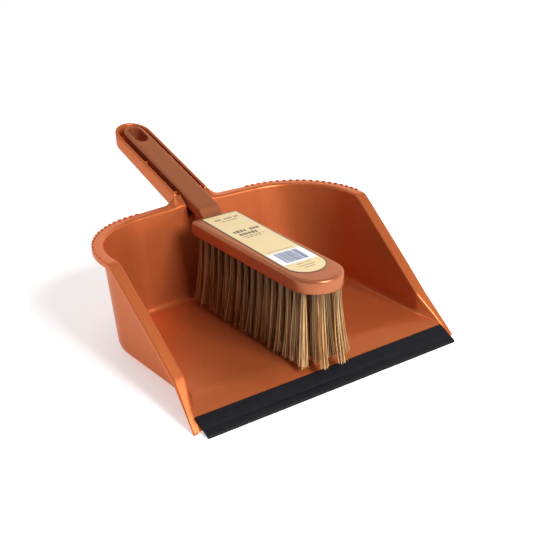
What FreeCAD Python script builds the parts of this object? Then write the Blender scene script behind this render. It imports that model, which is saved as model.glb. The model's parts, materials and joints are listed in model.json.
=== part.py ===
import FreeCAD, Part
import math
import os
from FreeCAD import Placement, Rotation, Vector

# Dust pan and brush set.
# Pan frame: X to the right, Y from the lip towards the handle, Z square to the pan's floor,
# z = 0 on the underside of the floor and y = 0 at the lip's front edge.
# The whole set is then laid down by the rest tilt, so that the lip and the heel touch z = 0.

SIZES = {
    # pan tub; the crease is the bevel between its floor and its walls
    "wall": 2.3, "floor_half": 140.0, "floor_back": 225.5, "floor_corner": 67.0,
    "rim_half": 144.8, "rim_back": 242.8, "rim_corner": 75.5, "bow": 3.4,
    "rim_top": 103.0, "crest_y": 48.7, "crest_z": 22.8, "shoulder_y": 150.7, "crease": 6.5,
    # rim flange, its turned-down skirt and its grip teeth
    "flange": 12.0, "flange_front": 153.6, "skirt_depth": 6.0, "skirt_wall": 2.2,
    "tooth_length": 3.8, "tooth_width": 2.2, "tooth_height": 1.1, "tooth_pitch": 7.5,
    # ramp and wings; the wings are thin flaps that flare out beside the lip
    "ramp_y": 22.1, "ramp_z": -4.06, "tongue_y": 7.0, "tongue_wall": 2.0,
    "wing_y": 11.8, "wing_half": 158.2, "wing_top": -12.2, "wing_wall": 2.5,
    # rubber lip and the crease between its two bands
    "lip_half": 150.0, "lip_drop": 16.8, "lip_wall": 2.2, "lip_groove": 8.2,
    "groove_half": 0.6, "groove_depth": 0.5, "lip_gap": 0.02, "lip_chamfer": 0.3,
    # pan handle: an upward-open channel, cross-ribbed, with a round end and a hanging hole
    "grip_half": 21.0, "grip_wall": 3.4, "grip_depth": 17.0, "grip_floor": 2.6,
    "grip_end": 371.0, "grip_root": 241.0, "grip_nose": 12.0, "grip_ref_y": 280.0,
    "grip_ref_z": 120.7, "grip_slope": 17.74, "belly_slope": 0.031,
    "hang_radius": 5.0, "hang_y": 360.0, "hip_half": 36.0, "hip_rise": 8.3, "notch_half": 14.4,
    "rib_thick": 2.0, "rib_pitch": 19.7, "rib_first": 261.0, "rib_height": 4.0, "rib_count": 4,
    "nub_reach": 4.3, "nub_drop": 0.8, "fin_reach": 3.1, "fin_drop": 2.5,
    # brush block
    "lean": 1.1, "pivot_y": 25.0, "head_half": 28.0, "head_front": 12.6, "head_back": 214.5,
    "head_top": 93.1, "head_thick": 14.3, "head_round": 3.5, "head_corner": 4.5,
    "stem_half": 12.6, "stem_depth": 14.0, "stem_end": 370.5, "stem_ref_y": 282.3,
    "stem_ref_z": 119.3, "stem_slope": 16.62, "stem_start": 210.5, "stem_rise": 223.5,
    "eye_half": 8.0, "eye_front": 358.0, "eye_back": 371.5,
    # paper label
    "label_half": 21.8, "label_back": 209.5, "label_front": 34.7, "label_thick": 0.4,
    "label_skew": 1.6,
    # tufts, their holes and the staples that hold them
    "row_count": 17, "row_first": 205.5, "row_pitch": 11.7, "tuft_reach": 21.0,
    "tuft_space": 9.0, "tuft_edge": 4.0, "hole_radius": 2.5, "hole_depth": 9.0,
    "root_radius": 2.45, "tip_radius": 3.9, "splay_x": 0.22, "splay_front": 7.0,
    "splay_back": 3.5, "tip_gap": 0.6, "staple_width": 4.4, "staple_thick": 0.6,
    "staple_height": 1.8, "staple_gap": 0.05,
    # resting attitude
    "rest_tilt": 4.45,
}

# Where cuts and joined solids have to run past the faces they meet.
FLOOR_FRONT = -20.0
DEEP = 400.0
OVERLAP = 1.0

doc = FreeCAD.newDocument("DustPanAndBrush")
sheet = doc.addObject("Spreadsheet::Sheet", "Sizes")
for line, (alias, value) in enumerate(SIZES.items(), start=1):
    sheet.set("A%d" % line, alias)
    sheet.set("B%d" % line, str(value))
    sheet.setAlias("B%d" % line, alias)
doc.recompute()


def size(alias):
    return float(sheet.get(alias))


def bind(item, **links):
    for prop, formula in links.items():
        item.setExpression(prop.replace("__", "."), formula)
    return item


def origin_plane(body, role):
    return next(f for f in body.Origin.OriginFeatures if f.Role == role)


def new_body(name):
    body = doc.addObject("PartDesign::Body", name)
    body.Label = name
    return body


def sketch(body, name, role, curves, offset=None):
    """A sketch on one of the body's own planes, lifted off it by the offset formula."""
    item = body.newObject("Sketcher::SketchObject", name)
    item.AttachmentSupport = (origin_plane(body, role), "")
    item.MapMode = "FlatFace"
    if offset is not None:
        item.setExpression("AttachmentOffset.Base.z", offset)
    item.addGeometry(curves, False)
    return item


def polygon(points):
    corners = [Vector(u, v, 0) for u, v in points]
    return [Part.LineSegment(a, b) for a, b in zip(corners, corners[1:] + corners[:1])]


def pad(body, name, profile, length, both_ways=False, flip=False):
    item = body.newObject("PartDesign::Pad", name)
    item.Profile = profile
    item.Midplane = both_ways
    item.Reversed = flip
    item.setExpression("Length", length)
    return item


def pocket(body, name, profile, length, both_ways=False, flip=False):
    """A pocket that must take material away from the body."""
    doc.recompute()
    before = body.Shape.Volume
    item = body.newObject("PartDesign::Pocket", name)
    item.Profile = profile
    item.Midplane = both_ways
    item.Reversed = flip
    item.setExpression("Length", length)
    doc.recompute()
    if body.Shape.Volume >= before - 1e-3:
        raise RuntimeError(name + " cuts nothing")
    return item


def loft(body, kind, name, sections, ruled=False):
    item = body.newObject("PartDesign::" + kind, name)
    item.Profile = sections[0]
    item.Sections = sections[1:]
    item.Ruled = ruled
    return item


def fillet(body, name, radius, wanted):
    """Round the edges of the body's present tip that the test picks out."""
    doc.recompute()
    tip = body.Tip
    edges = ["Edge%d" % number for number, edge in enumerate(tip.Shape.Edges, start=1) if wanted(edge)]
    item = body.newObject("PartDesign::Fillet", name)
    item.Base = (tip, edges)
    item.setExpression("Radius", radius)
    return item


def level(edge, height):
    box = edge.BoundBox
    return abs(box.ZMin - height) < 0.01 and abs(box.ZMax - height) < 0.01


def boolean(kind, name, *operands):
    item = doc.addObject("Part::" + kind, name)
    item.Label = name
    if kind in ("MultiFuse", "MultiCommon"):
        item.Shapes = list(operands)
    else:
        item.Base, item.Tool = operands
    item.Refine = kind != "MultiFuse"
    return item


def tub_outline(half, back, corner, front, front_half=None):
    """Straight sides, round back corners and a gently bowed back, in plan."""
    nose = half if front_half is None else front_half
    bow = size("bow")
    side = back - bow - corner
    inner = half - corner
    bend = corner * math.sqrt(0.5)
    left = [Vector(-nose, front, 0), Vector(-half, side, 0), Vector(-inner, back - bow, 0)]
    right = [Vector(-p.x, p.y, 0) for p in reversed(left)]
    return [
        Part.LineSegment(left[0], left[1]),
        Part.Arc(left[1], Vector(-inner - bend, side + bend, 0), left[2]),
        Part.Arc(left[2], Vector(0, back, 0), right[0]),
        Part.Arc(right[0], Vector(inner + bend, side + bend, 0), right[1]),
        Part.LineSegment(right[1], right[2]),
    ]


def closed(curves):
    return curves + [Part.LineSegment(curves[-1].EndPoint, curves[0].StartPoint)]


def ring(outer, inner):
    """The open-ended band between two tub outlines, as one closed loop."""
    return outer + inner + [
        Part.LineSegment(outer[0].StartPoint, inner[0].StartPoint),
        Part.LineSegment(outer[-1].EndPoint, inner[-1].EndPoint),
    ]


def tub_solid(body, grow, base_level):
    """A tub-shaped block: a bevelled base, then walls that lean out to the rim."""
    crease = size("crease")
    name = body.Label
    draft = crease / (size("rim_top") - size("wall"))
    half = size("floor_half") + draft * (size("rim_half") - size("floor_half"))
    back = size("floor_back") + draft * (size("rim_back") - size("floor_back"))
    corner = size("floor_corner") + draft * (size("rim_corner") - size("floor_corner"))
    levels = [(half - crease, back - crease, corner - crease, base_level),
              (half, back, corner, base_level + " + Sizes.crease"),
              (size("rim_half"), size("rim_back"), size("rim_corner"), "Sizes.rim_top")]
    sections = [sketch(body, "%s_section_%d" % (name, index), "XY_Plane",
                       closed(tub_outline(x + grow, y + grow, r + grow, FLOOR_FRONT)), level)
                for index, (x, y, r, level) in enumerate(levels)]
    loft(body, "AdditiveLoft", name + "_walls", sections, ruled=True)
    return body


def make_tub():
    """Floor and walls: a lofted tub whose sides are cut down towards the front."""
    body = tub_solid(new_body("tub"), size("wall"), "0")
    cut_down(body)
    return body


def make_hollow():
    body = tub_solid(new_body("tub_hollow"), 0.0, "Sizes.wall")
    doc.recompute()
    return body


def cut_down(body):
    side = sketch(body, "side_cut", "YZ_Plane", polygon([
        (FLOOR_FRONT - 10, -10), (size("crest_y"), -10), (size("crest_y"), size("crest_z")),
        (size("shoulder_y"), size("rim_top")), (size("shoulder_y"), size("rim_top") + 20),
        (FLOOR_FRONT - 10, size("rim_top") + 20)]))
    pocket(body, "side_cut_down", side, str(DEEP), both_ways=True)


def edge_strip(name, depth):
    """The band that follows the rim down the sides, as wide as the pan, of the given depth."""
    body = new_body(name)
    top = [(size("crest_y"), size("crest_z")), (size("shoulder_y"), size("rim_top")),
           (size("rim_back") + 40, size("rim_top"))]
    profile = sketch(body, name + "_side", "YZ_Plane",
                     polygon(top + [(y, z - depth) for y, z in reversed(top)]))
    pad(body, name + "_across", profile, str(DEEP), both_ways=True)
    return body


def make_band(name, outer_inset, inner_inset, depth):
    """A band round the rim between two insets from the flange's outer edge."""
    body = new_body(name + "_plan")
    width = size("flange")

    def line(inset):
        return tub_outline(size("rim_half") + width - inset, size("rim_back") + width - inset,
                           size("rim_corner") + width - inset, size("crest_y"),
                           size("flange_front") - inset)

    profile = sketch(body, name + "_plan_line", "XY_Plane", ring(line(outer_inset), line(inner_inset)))
    pad(body, name + "_height", profile, "Sizes.rim_top + 5")
    return boolean("Common", name, body, edge_strip(name + "_strip", depth))


def make_front():
    """The ramp that rises from the lip to the floor, with the flared wing on each side."""
    body = new_body("front")
    wall = size("wall")
    floor = size("floor_half")
    ramp_z = size("ramp_z")
    rim = size("flange_front")
    bend = floor + 1.0
    rim_drop = size("crest_z") - 1.2
    at_crest = [(rim, rim_drop - wall - 0.3), (rim, rim_drop), (bend, size("crest_z")), (floor, wall)]
    under_crest = [(floor + wall, 0.0), (bend + wall, size("crest_z") - wall - 0.5)]
    crease = size("lip_half") + 0.4
    flap = crease + 0.5
    flap_end = crease + size("crease")
    at_ramp = [(flap_end, ramp_z - 2.1), (flap_end, ramp_z + 0.7), (flap, ramp_z + 0.5), (crease, ramp_z)]
    under_ramp = [(crease + 1, ramp_z - 4.4), (crease + 2, ramp_z - 2.3)]

    def section(top, under):
        right = under + top
        left = [(-x, z) for x, z in reversed(right)]
        return polygon(right + left)

    crest = sketch(body, "crest_section", "XZ_Plane", section(at_crest, under_crest), "-Sizes.crest_y")
    ramp = sketch(body, "ramp_section", "XZ_Plane", section(at_ramp, under_ramp), "-Sizes.ramp_y")
    loft(body, "AdditiveLoft", "ramp_and_wings", [crest, ramp], ruled=True)
    root = size("ramp_y")
    tongue_top = ramp_z - size("lip_wall")
    tongue_base = tongue_top - size("tongue_wall")
    fall = lip_slope() * (root - size("tongue_y"))
    tongue = sketch(body, "tongue_side", "YZ_Plane", polygon([
        (root + OVERLAP, tongue_top), (root, tongue_top), (size("tongue_y"), tongue_top - fall),
        (size("tongue_y"), tongue_base - fall), (root, tongue_base), (root + OVERLAP, tongue_base)]))
    pad(body, "tongue", tongue, "2 * Sizes.lip_half + 1", both_ways=True)
    wing_top = size("wing_top")
    near = [(crease, ramp_z - 4.4), (flap, ramp_z + 0.5), (flap_end, ramp_z + 0.7), (flap_end, ramp_z - 2.1)]
    far = [(flap - 0.3, wing_top - size("wing_wall") - 0.5), (flap - 0.3, wing_top - 0.5),
           (size("wing_half"), wing_top), (size("wing_half"), wing_top - 2.0)]
    for hand, name in ((1, "right"), (-1, "left")):
        start = sketch(body, name + "_wing_root", "XZ_Plane", polygon([(hand * x, z) for x, z in near]),
                       "-Sizes.ramp_y")
        end = sketch(body, name + "_wing_tip", "XZ_Plane", polygon([(hand * x, z) for x, z in far]),
                     "-Sizes.wing_y")
        loft(body, "AdditiveLoft", name + "_wing", [start, end], ruled=True)
    return body


def lip_slope():
    """Rise of the lip per millimetre of depth: its top runs from its front edge to the ramp."""
    front_top = size("lip_wall") - size("lip_drop")
    return (size("ramp_z") - front_top) / size("ramp_y")


def make_lip():
    """The rubber strip, laid on the tongue, with a shallow groove along it."""
    body = new_body("rubber_lip")
    slope = lip_slope()
    tip = -size("lip_drop")
    back = size("ramp_y") - size("lip_gap")
    groove = size("lip_groove")
    near, far = groove - size("groove_half"), groove + size("groove_half")

    def top(y):
        return tip + size("lip_wall") + slope * y

    profile = sketch(body, "lip_side", "YZ_Plane", polygon([
        (0, tip), (back, tip + slope * size("ramp_y") + size("lip_gap")), (back, top(size("ramp_y"))),
        (far, top(far)), (groove, top(groove) - size("groove_depth")), (near, top(near)),
        (size("lip_chamfer"), top(size("lip_chamfer")))]))
    pad(body, "lip_strip", profile, "2 * Sizes.lip_half", both_ways=True)
    return body


def grip_height(y):
    """Rim of the pan handle."""
    return size("grip_ref_z") + (y - size("grip_ref_y")) * math.tan(math.radians(size("grip_slope")))


def belly_height(y):
    """Underside of the pan handle, which grows a little deeper towards the pan."""
    return grip_height(y) - size("grip_depth") - size("belly_slope") * (size("grip_end") - y)


def stem_height(y):
    return size("stem_ref_z") + (y - size("stem_ref_y")) * math.tan(math.radians(size("stem_slope")))


def stadium(half, front, end):
    """Plan of a handle: straight sides and a half-round end."""
    return [
        Part.LineSegment(Vector(-half, front, 0), Vector(half, front, 0)),
        Part.LineSegment(Vector(half, front, 0), Vector(half, end, 0)),
        Part.Arc(Vector(half, end, 0), Vector(0, end + half, 0), Vector(-half, end, 0)),
        Part.LineSegment(Vector(-half, end, 0), Vector(-half, front, 0)),
    ]


def slanted_bar(name, half, front, end, lift, high):
    """A bar of stadium plan between the belly, lifted, and the rim of the pan handle, raised.

    Its top starts level with the pan's rim and rises to the handle's rim over a short nose.
    """
    plan = new_body(name + "_plan")
    pad(plan, name + "_tall", sketch(plan, name + "_line", "XY_Plane", stadium(half, front, end)), str(DEEP))
    side = new_body(name + "_side")
    start = front - 5 * OVERLAP
    nose = front + size("grip_nose")
    back = end + half + 5 * OVERLAP
    profile = sketch(side, name + "_slope", "YZ_Plane", polygon([
        (start, belly_height(start) + lift), (back, belly_height(back) + lift),
        (back, grip_height(back) + high), (nose, grip_height(nose) + high), (start, size("rim_top") + high)]))
    pad(side, name + "_wide", profile, str(DEEP), both_ways=True)
    return boolean("Common", name, plan, side)


def make_hips():
    """The hip on each side of the handle's root, where the flange's outer edge rises to its walls."""
    rim = size("rim_top")
    base = rim - OVERLAP
    top = rim + size("hip_rise")
    inner_edge = size("rim_back") + OVERLAP / 2
    buried = inner_edge - 2 * OVERLAP
    outer_edge = size("rim_back") + size("flange")
    wide, narrow = size("hip_half"), size("grip_half")
    across = new_body("hips_across")
    profile = sketch(across, "hips_front", "XZ_Plane", polygon([
        (-wide, base), (wide, base), (wide, rim), (narrow, top), (-narrow, top), (-wide, rim)]))
    pad(across, "hips_deep", profile, str(2 * DEEP), both_ways=True)
    along = new_body("hips_along")
    profile = sketch(along, "hips_side", "YZ_Plane", polygon([
        (buried, base), (outer_edge, base), (outer_edge, top), (inner_edge, rim), (buried, rim)]))
    pad(along, "hips_wide", profile, str(DEEP), both_ways=True)
    return boolean("Common", "hips", across, along)


def make_ribs():
    """Cross ribs on the channel floor; each ends in an upright fin against either wall.

    The first and last pair of fins are nubs that reach almost to the rim, beside the brush.
    """
    tools = []
    inner = size("grip_half") - size("grip_wall")
    last = int(size("rib_count")) - 1
    outside = inner + OVERLAP / 2
    for index in range(last + 1):
        y = size("rib_first") + index * size("rib_pitch")
        start = y - size("rib_thick") / 2
        floor = belly_height(y) + size("grip_floor") - OVERLAP
        rib = doc.addObject("Part::Box", "rib_%d" % index)
        bind(rib, Width="Sizes.rib_thick", Height="Sizes.rib_height")
        rib.Length = 2 * outside
        rib.Placement.Base = Vector(-outside, start, floor)
        tools.append(rib)
        kind = "nub" if index in (0, last) else "fin"
        reach = size(kind + "_reach")
        for hand, side in ((-1, "left"), (1, "right")):
            fin = doc.addObject("Part::Box", "%s_%d_%s" % (kind, index, side))
            bind(fin, Width="Sizes.rib_thick")
            fin.Length = reach + outside - inner
            fin.Height = grip_height(y) - size(kind + "_drop") - floor
            fin.Placement.Base = Vector(inner - reach if hand > 0 else -outside, start, floor)
            tools.append(fin)
    return tools


def make_teeth():
    """Small grip teeth along the flange's outer edge, round both back corners."""
    teeth = []
    set_in = 0.2
    sunk = 0.5
    radius = size("rim_corner") + size("flange") - size("tooth_width") / 2 - set_in
    corner = Placement(Vector(-size("tooth_width") / 2, -size("tooth_length") / 2, 0), Rotation())
    centre_x = size("rim_half") - size("rim_corner")
    centre_y = size("rim_back") - size("bow") - size("rim_corner")
    count = int(radius * math.pi / 2 / size("tooth_pitch"))
    for index in range(count + 1):
        angle = math.degrees(index * size("tooth_pitch") / radius)
        for hand in (-1, 1):
            tooth = doc.addObject("Part::Box", "tooth_%d_%s" % (index, "right" if hand > 0 else "left"))
            bind(tooth, Length="Sizes.tooth_width", Width="Sizes.tooth_length")
            tooth.Height = size("tooth_height") + sunk
            turn = angle if hand > 0 else 180 - angle
            place = Vector(hand * (centre_x + radius * math.cos(math.radians(angle))),
                           centre_y + radius * math.sin(math.radians(angle)), size("rim_top") - sunk)
            tooth.Placement = Placement(place, Rotation(Vector(0, 0, 1), turn)).multiply(corner)
            teeth.append(tooth)
    return teeth


def make_heel_cut():
    """The table plane, as a slab below it: it leaves a narrow flat heel along the rear edge."""
    slab = doc.addObject("Part::Box", "table")
    slab.Length, slab.Width, slab.Height = DEEP, 2 * DEEP, DEEP / 8
    tilt = Rotation(Vector(1, 0, 0), size("rest_tilt"))
    front = Vector(0, 0, -size("lip_drop"))
    corner = Vector(-DEEP / 2, -DEEP / 4, -DEEP / 8)
    slab.Placement = Placement(front, tilt).multiply(Placement(corner, Rotation()))
    return slab


def make_pan():
    tub = boolean("Cut", "tub_shell", make_tub(), make_hollow())
    into_wall = size("flange") + 5 * OVERLAP
    flange = boolean("Cut", "flange_ring", make_band("flange_band", 0, into_wall, size("wall")),
                     doc.getObject("tub_hollow"))
    skirt = make_band("skirt", 0, size("skirt_wall"), size("skirt_depth"))
    bar = slanted_bar("grip", size("grip_half"), size("grip_root"), size("grip_end"), 0, 0)
    bulk = boolean("MultiFuse", "pan_bulk", tub, make_front(), flange, skirt, bar, make_hips())
    inner = size("grip_half") - size("grip_wall")
    open_above = 40.0
    behind_flange = size("rim_back") + size("flange")
    through_wall = size("grip_root") - 30.0
    channel = slanted_bar("channel", inner, behind_flange, size("grip_end"), size("grip_floor"), open_above)
    notch = slanted_bar("notch", size("notch_half"), through_wall, behind_flange + size("grip_nose"),
                        size("grip_floor"), open_above)
    hang = doc.addObject("Part::Cylinder", "hang_bore")
    bind(hang, Radius="Sizes.hang_radius")
    hang.Height = 4 * size("grip_depth")
    rise = math.tan(math.radians(size("grip_slope"))) + size("belly_slope")
    square = Rotation(Vector(1, 0, 0), math.degrees(math.atan(rise)))
    spot = Vector(0, size("hang_y"), belly_height(size("hang_y")))
    middle = Vector(0, 0, -hang.Height.Value / 2)
    hang.Placement = Placement(spot, square).multiply(Placement(middle, Rotation()))
    opened = boolean("Cut", "pan_opened", boolean("Cut", "pan_notched", bulk, notch), channel)
    drilled = boolean("Cut", "pan_drilled", opened, hang)
    dressed = boolean("MultiFuse", "pan_dressed", drilled, *(make_ribs() + make_teeth()))
    return boolean("Cut", "pan_body", dressed, make_heel_cut())


def head_outline(half, back, front, round_back):
    """Half-round front, straight sides and rounded back corners, in plan."""
    nose = front + half
    bend = round_back * (1 - math.sqrt(0.5))
    left = [Vector(-half, nose, 0), Vector(-half, back - round_back, 0), Vector(-half + round_back, back, 0)]
    right = [Vector(-p.x, p.y, 0) for p in reversed(left)]
    return [
        Part.LineSegment(left[0], left[1]),
        Part.Arc(left[1], Vector(-half + bend, back - bend, 0), left[2]),
        Part.LineSegment(left[2], right[0]),
        Part.Arc(right[0], Vector(half - bend, back - bend, 0), right[1]),
        Part.LineSegment(right[1], right[2]),
        Part.Arc(right[2], Vector(0, front, 0), left[0]),
    ]


def tuft_places():
    """Rows from the handle end forwards: row number to the tuft positions across it.

    Every row has a tuft close to each side, and rows of five and of four take turns.
    """
    rows = {}
    for row in range(int(size("row_count"))):
        y = size("row_first") - row * size("row_pitch")
        ahead = max(size("head_front") + size("head_half") - y, 0.0)
        limit = size("head_half") - size("tuft_edge")
        arc = math.sqrt(max(limit ** 2 - ahead ** 2, 0.0))
        reach = max(min(size("tuft_reach"), arc), size("tuft_space") / 2 + 1)
        count = 5 if row % 2 == 0 else 4
        while count > 2 and 2 * reach / (count - 1) < size("tuft_space"):
            count -= 1
        rows[row] = [(reach * (2 * index / (count - 1) - 1), y) for index in range(count)]
    return rows


def head_under():
    return size("head_top") - size("head_thick")


def stem_side():
    """Side view of the stem: it lifts off the head in a short curve, then runs straight."""
    top, depth = size("head_top"), size("stem_depth")
    start, rise = size("stem_start"), size("stem_rise")
    end = size("stem_end") + size("stem_half")
    low = rise + size("stem_depth") / 2
    corners = [Vector(rise, stem_height(rise), 0), Vector(end, stem_height(end), 0),
               Vector(end, stem_height(end) - depth, 0), Vector(low, stem_height(low) - depth, 0),
               Vector(start, head_under() + 2 * OVERLAP, 0), Vector(start, top, 0)]
    middle = (start + rise) / 2
    sag = 0.21 * (stem_height(rise) - top)
    swell = Vector(middle, (top + stem_height(rise)) / 2 - sag, 0)
    lines = [Part.LineSegment(a, b) for a, b in zip(corners, corners[1:])]
    return [Part.Arc(corners[-1], swell, corners[0])] + lines


def round_end():
    """What is taken off round the stem's end, in plan."""
    half, tail = size("stem_half"), size("stem_end")
    wide = half + 5 * OVERLAP
    corners = [Vector(half, tail, 0), Vector(wide, tail, 0), Vector(wide, tail + wide, 0),
               Vector(-wide, tail + wide, 0), Vector(-wide, tail, 0), Vector(-half, tail, 0)]
    lines = [Part.LineSegment(a, b) for a, b in zip(corners, corners[1:])]
    return [Part.Arc(corners[-1], Vector(0, tail + half, 0), corners[0])] + lines


def eye_outline():
    half, front, back = size("eye_half"), size("eye_front"), size("eye_back")
    return [
        Part.Arc(Vector(-half, back, 0), Vector(0, back + half, 0), Vector(half, back, 0)),
        Part.LineSegment(Vector(half, back, 0), Vector(half, front, 0)),
        Part.Arc(Vector(half, front, 0), Vector(0, front - half, 0), Vector(-half, front, 0)),
        Part.LineSegment(Vector(-half, front, 0), Vector(-half, back, 0)),
    ]


def make_brush():
    body = new_body("brush_body")
    outline = head_outline(size("head_half"), size("head_back"), size("head_front"), size("head_corner"))
    plan = sketch(body, "head_plan", "XY_Plane", outline, "Sizes.head_top - Sizes.head_thick")
    pad(body, "head", plan, "Sizes.head_thick")
    fillet(body, "head_edge", "Sizes.head_round", lambda edge: level(edge, size("head_top")))
    side = sketch(body, "stem_side", "YZ_Plane", stem_side())
    pad(body, "stem", side, "2 * Sizes.stem_half", both_ways=True)
    through = str(2 * DEEP)
    tail = sketch(body, "round_end_plan", "XY_Plane", round_end())
    pocket(body, "round_end", tail, through, both_ways=True)
    eye = sketch(body, "eye_plan", "XY_Plane", eye_outline())
    pocket(body, "hanging_eye", eye, through, both_ways=True)
    holes = [Part.Circle(Vector(x, y, 0), Vector(0, 0, 1), size("hole_radius"))
             for row in tuft_places().values() for x, y in row]
    drill = sketch(body, "tuft_holes", "XY_Plane", holes, "Sizes.head_top - Sizes.head_thick")
    pocket(body, "drilled_holes", drill, "Sizes.hole_depth", flip=True)
    return body


def make_label():
    """The paper label, stuck on the head's top slightly askew."""
    body = new_body("label")
    corner = 1.0
    outline = head_outline(size("label_half"), size("label_back"), size("label_front"), corner)
    plan = sketch(body, "label_plan", "XY_Plane", outline, "Sizes.head_top")
    pivot = Vector(0, size("label_front") + size("label_half"), 0)
    turn = Rotation(Vector(0, 0, 1), -size("label_skew"))
    plan.AttachmentOffset = Placement(pivot - turn.multVec(pivot), turn)
    pad(body, "label_sheet", plan, "Sizes.label_thick")
    return body


def circle(name, radius, x, y, z):
    item = doc.addObject("Part::Circle", name)
    item.setExpression("Radius", radius)
    item.Placement.Base = Vector(x, y, z)
    return item


def make_tuft(name, x, y, forward):
    """One tuft: a straight root in its hole, then filaments that flare and lean outwards."""
    under = head_under()
    below_staple = under + size("hole_depth") - size("staple_height") - 4 * size("staple_gap")
    tip = size("wall") + size("tip_gap")
    item = doc.addObject("Part::Loft", name)
    item.Sections = [
        circle(name + "_anchor", "Sizes.root_radius", x, y, below_staple),
        circle(name + "_mouth", "Sizes.root_radius", x, y, under),
        circle(name + "_tip", "Sizes.tip_radius", x * (1 + size("splay_x")), y + forward, tip),
    ]
    item.Solid = True
    item.Ruled = True
    return item


def make_staple(name, x, y):
    """The flat staple at the bottom of a tuft's hole."""
    staple = doc.addObject("Part::Box", name)
    bind(staple, Length="Sizes.staple_width", Width="Sizes.staple_thick", Height="Sizes.staple_height")
    staple.Placement.Base = Vector(
        x - size("staple_width") / 2, y - size("staple_thick") / 2,
        head_under() + size("hole_depth") - size("staple_height") - size("staple_gap"))
    return staple


def row_lean(row):
    """How far a row's tips lean: the last four rows forwards, the first two backwards."""
    behind_front = int(size("row_count")) - 1 - row
    forwards = size("splay_front") * max(0, 4 - behind_front) / 4
    backwards = size("splay_back") * max(0, 2 - row) / 2
    return backwards - forwards


def make_rows():
    """Every row's tufts and the staples that anchor them, one pair of compounds per row."""
    parts = []
    for row, places in tuft_places().items():
        tufts, staples = [], []
        for index, (x, y) in enumerate(places):
            number = "%02d_%d" % (row + 1, index + 1)
            tufts.append(make_tuft("tuft_" + number, x, y, row_lean(row)))
            staples.append(make_staple("staple_" + number, x, y))
        parts.append(group("bristle_row_%02d" % (row + 1), tufts))
        parts.append(group("staple_row_%02d" % (row + 1), staples))
    return parts


def group(name, members):
    item = doc.addObject("Part::Compound", name)
    item.Label = name
    item.Links = members
    return item


pan_parts = [make_pan(), make_lip()]
brush_parts = [make_brush(), make_label()] + make_rows()
doc.recompute()

# Resting attitude: the pan tips back by the rest tilt until its heel meets the table, and the
# origin moves to the middle of the base. The brush leans a little against the pan's floor.
rest = Placement(Vector(0, 0, 0), Rotation(Vector(1, 0, 0), -size("rest_tilt"))).multiply(
    Placement(Vector(0, 0, size("lip_drop")), Rotation()))
pivot = Vector(0, size("pivot_y"), size("wall"))
lean = Placement(Vector(0, 0, 0), Rotation(Vector(1, 0, 0), size("lean")), pivot)
pan_box = pan_parts[0].Shape.transformed(rest.toMatrix(), True).optimalBoundingBox()
lip_box = pan_parts[1].Shape.transformed(rest.toMatrix(), True).optimalBoundingBox()
middle = (min(pan_box.YMin, lip_box.YMin) + pan_box.YMax) / 2
rest = Placement(Vector(0, -middle, 0), Rotation()).multiply(rest)
for item in pan_parts:
    item.Placement = rest
for item in brush_parts:
    item.Placement = rest.multiply(lean)
doc.recompute()

for item in doc.Objects:
    if "Invalid" in item.State or "Error" in item.State:
        raise RuntimeError("%s: %s" % (item.Name, item.State))
for item in pan_parts + brush_parts:
    if item.Shape.isNull() or not item.Shape.isValid() or not item.Shape.Solids:
        raise RuntimeError(item.Label + " has no valid solid")

os.makedirs("parts", exist_ok=True)
for item in pan_parts + brush_parts:
    item.Shape.exportStep("parts/%s.step" % item.Label)
    box = item.Shape.optimalBoundingBox()
    print("%-16s solids %d volume %.0f box %.1f %.1f %.1f to %.1f %.1f %.1f" % (
        item.Label, len(item.Shape.Solids), item.Shape.Volume,
        box.XMin, box.YMin, box.ZMin, box.XMax, box.YMax, box.ZMax))
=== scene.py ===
import json
import math
import random

import bmesh
import bpy
from mathutils import Matrix, Vector


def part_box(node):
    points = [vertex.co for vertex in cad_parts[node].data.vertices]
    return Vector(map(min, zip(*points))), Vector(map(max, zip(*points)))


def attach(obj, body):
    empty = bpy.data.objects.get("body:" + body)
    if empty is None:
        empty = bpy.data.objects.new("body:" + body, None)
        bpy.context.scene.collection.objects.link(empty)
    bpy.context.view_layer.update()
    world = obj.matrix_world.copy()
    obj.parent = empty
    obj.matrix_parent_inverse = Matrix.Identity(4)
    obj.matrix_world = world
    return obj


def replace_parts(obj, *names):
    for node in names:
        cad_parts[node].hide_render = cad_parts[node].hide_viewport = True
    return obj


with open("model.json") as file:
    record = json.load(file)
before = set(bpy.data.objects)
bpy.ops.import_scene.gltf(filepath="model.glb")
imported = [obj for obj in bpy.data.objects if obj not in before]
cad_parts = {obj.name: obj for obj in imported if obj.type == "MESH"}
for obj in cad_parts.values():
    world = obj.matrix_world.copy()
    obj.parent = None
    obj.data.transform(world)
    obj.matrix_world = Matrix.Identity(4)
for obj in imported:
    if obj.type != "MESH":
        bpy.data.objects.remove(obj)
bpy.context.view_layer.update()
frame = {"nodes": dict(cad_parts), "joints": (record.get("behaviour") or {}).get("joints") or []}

# ---------------------------------------------------------------------------------------------
# Places. Shapes are drawn in millimetres in two frames of their own and then moved into the
# part's frame: PAN has Z square to the pan's floor and its origin at the lip's front edge, and
# BRUSH leans a little against it. The lift joint's axis is the pan's own Z.
# ---------------------------------------------------------------------------------------------
MM = 0.001
LIFT = Vector(frame["joints"][0]["axis"])
TILT = math.atan2(LIFT.y, LIFT.z)
LIP_DROP = 16.8
LEAN = math.radians(1.1)
PIVOT = Vector((0, 25, 2.3))
LIP_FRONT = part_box("rubber_lip")[0].y

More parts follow.
